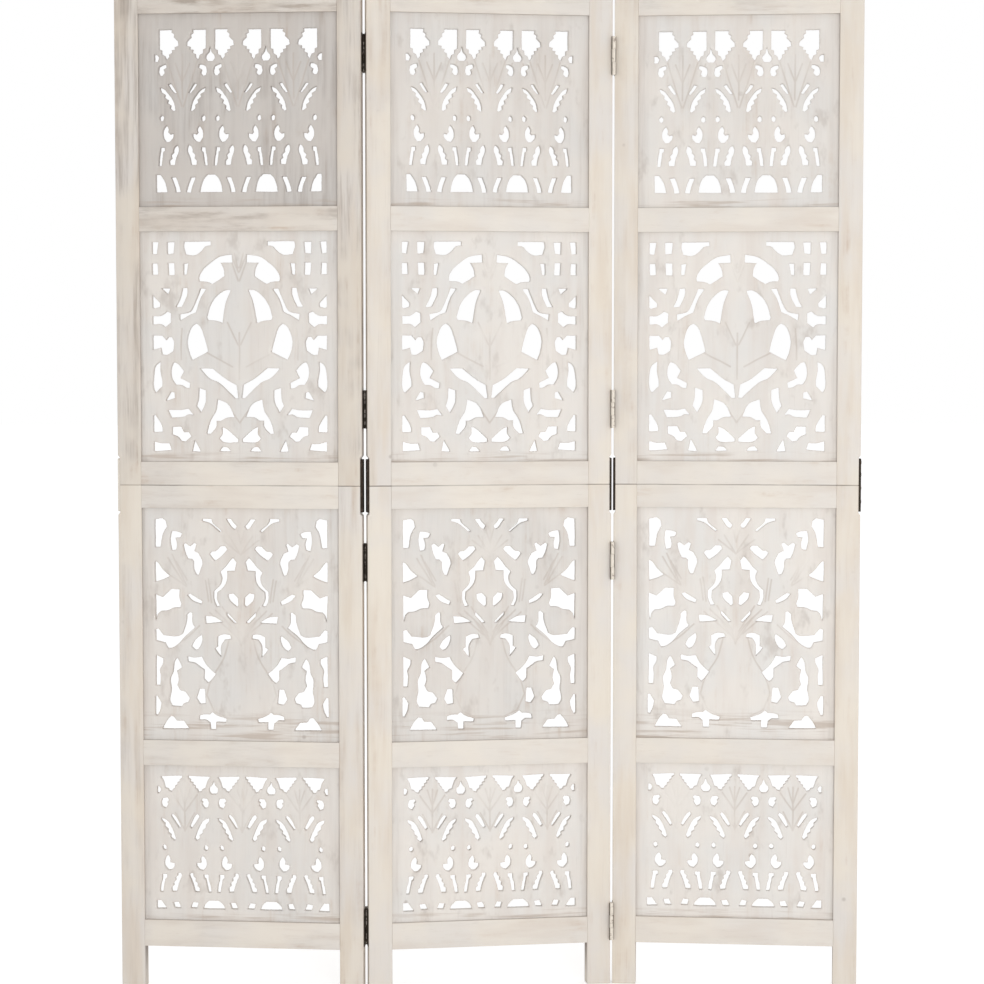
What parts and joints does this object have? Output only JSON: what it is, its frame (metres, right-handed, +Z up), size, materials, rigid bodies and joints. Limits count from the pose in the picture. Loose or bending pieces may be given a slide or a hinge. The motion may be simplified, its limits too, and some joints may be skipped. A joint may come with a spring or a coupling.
{
  "type": "carved jali folding screen",
  "caption": "Free-standing folding screen of hinged wooden columns, each with an upper and a lower frame around pierced and carved boards of buds, an arched lotus and a vase with sprays.",
  "frame": {"origin": "on the floor, under the middle of the centre column", "axes": "+Z up, +X along the screen towards the right column, -Y is the front"},
  "size_m": [1.2068, 0.0736, 1.628],
  "materials": {
    "frame_wood": "whitewash brushed thinly over solid wood, rubbed through in places",
    "carved_wood": "the same whitewash, thicker and greyer in the carving",
    "plate_steel": "satin black",
    "hinge_steel": "pale wash over steel, worn dark at the edges"
  },
  "bodies": {
    "left_column": {"left_upper_left_stile": "frame_wood", "left_upper_right_stile": "frame_wood", "left_lower_left_stile": "frame_wood", "left_lower_right_stile": "frame_wood", "left_top_rail": "frame_wood", "left_upper_mid_rail": "frame_wood", "left_upper_seam_rail": "frame_wood", "left_lower_seam_rail": "frame_wood", "left_lower_mid_rail": "frame_wood", "left_bottom_rail": "frame_wood", "left_tall_bud_frieze": "carved_wood", "left_arch_board": "carved_wood", "left_vase_board": "carved_wood", "left_short_bud_frieze": "carved_wood", "left_joining_plates": "plate_steel", "left_joint_left_leaves": "hinge_steel"},
    "centre_column": {"centre_upper_left_stile": "frame_wood", "centre_upper_right_stile": "frame_wood", "centre_lower_left_stile": "frame_wood", "centre_lower_right_stile": "frame_wood", "centre_top_rail": "frame_wood", "centre_upper_mid_rail": "frame_wood", "centre_upper_seam_rail": "frame_wood", "centre_lower_seam_rail": "frame_wood", "centre_lower_mid_rail": "frame_wood", "centre_bottom_rail": "frame_wood", "centre_tall_bud_frieze": "carved_wood", "centre_arch_board": "carved_wood", "centre_vase_board": "carved_wood", "centre_short_bud_frieze": "carved_wood", "centre_joining_plates": "plate_steel", "left_joint_centre_leaves": "hinge_steel", "left_joint_pins": "hinge_steel", "right_joint_centre_leaves": "hinge_steel", "right_joint_pins": "hinge_steel"},
    "right_column": {"right_upper_left_stile": "frame_wood", "right_upper_right_stile": "frame_wood", "right_lower_left_stile": "frame_wood", "right_lower_right_stile": "frame_wood", "right_top_rail": "frame_wood", "right_upper_mid_rail": "frame_wood", "right_upper_seam_rail": "frame_wood", "right_lower_seam_rail": "frame_wood", "right_lower_mid_rail": "frame_wood", "right_bottom_rail": "frame_wood", "right_tall_bud_frieze": "carved_wood", "right_arch_board": "carved_wood", "right_vase_board": "carved_wood", "right_short_bud_frieze": "carved_wood", "right_joining_plates": "plate_steel", "right_joint_right_leaves": "hinge_steel"}
  },
  "joints": [
    {"name": "left_fold", "type": "hinge", "parent": "centre_column", "child": "left_column", "pos_m": [-0.20166, -0.00814, 0.814], "axis": [0, 0, -1], "range_deg": [-14, 166]},
    {"name": "right_fold", "type": "hinge", "parent": "centre_column", "child": "right_column", "pos_m": [0.20166, 0.00814, 0.814], "axis": [0, 0, -1], "range_deg": [-14, 166]}
  ]
}
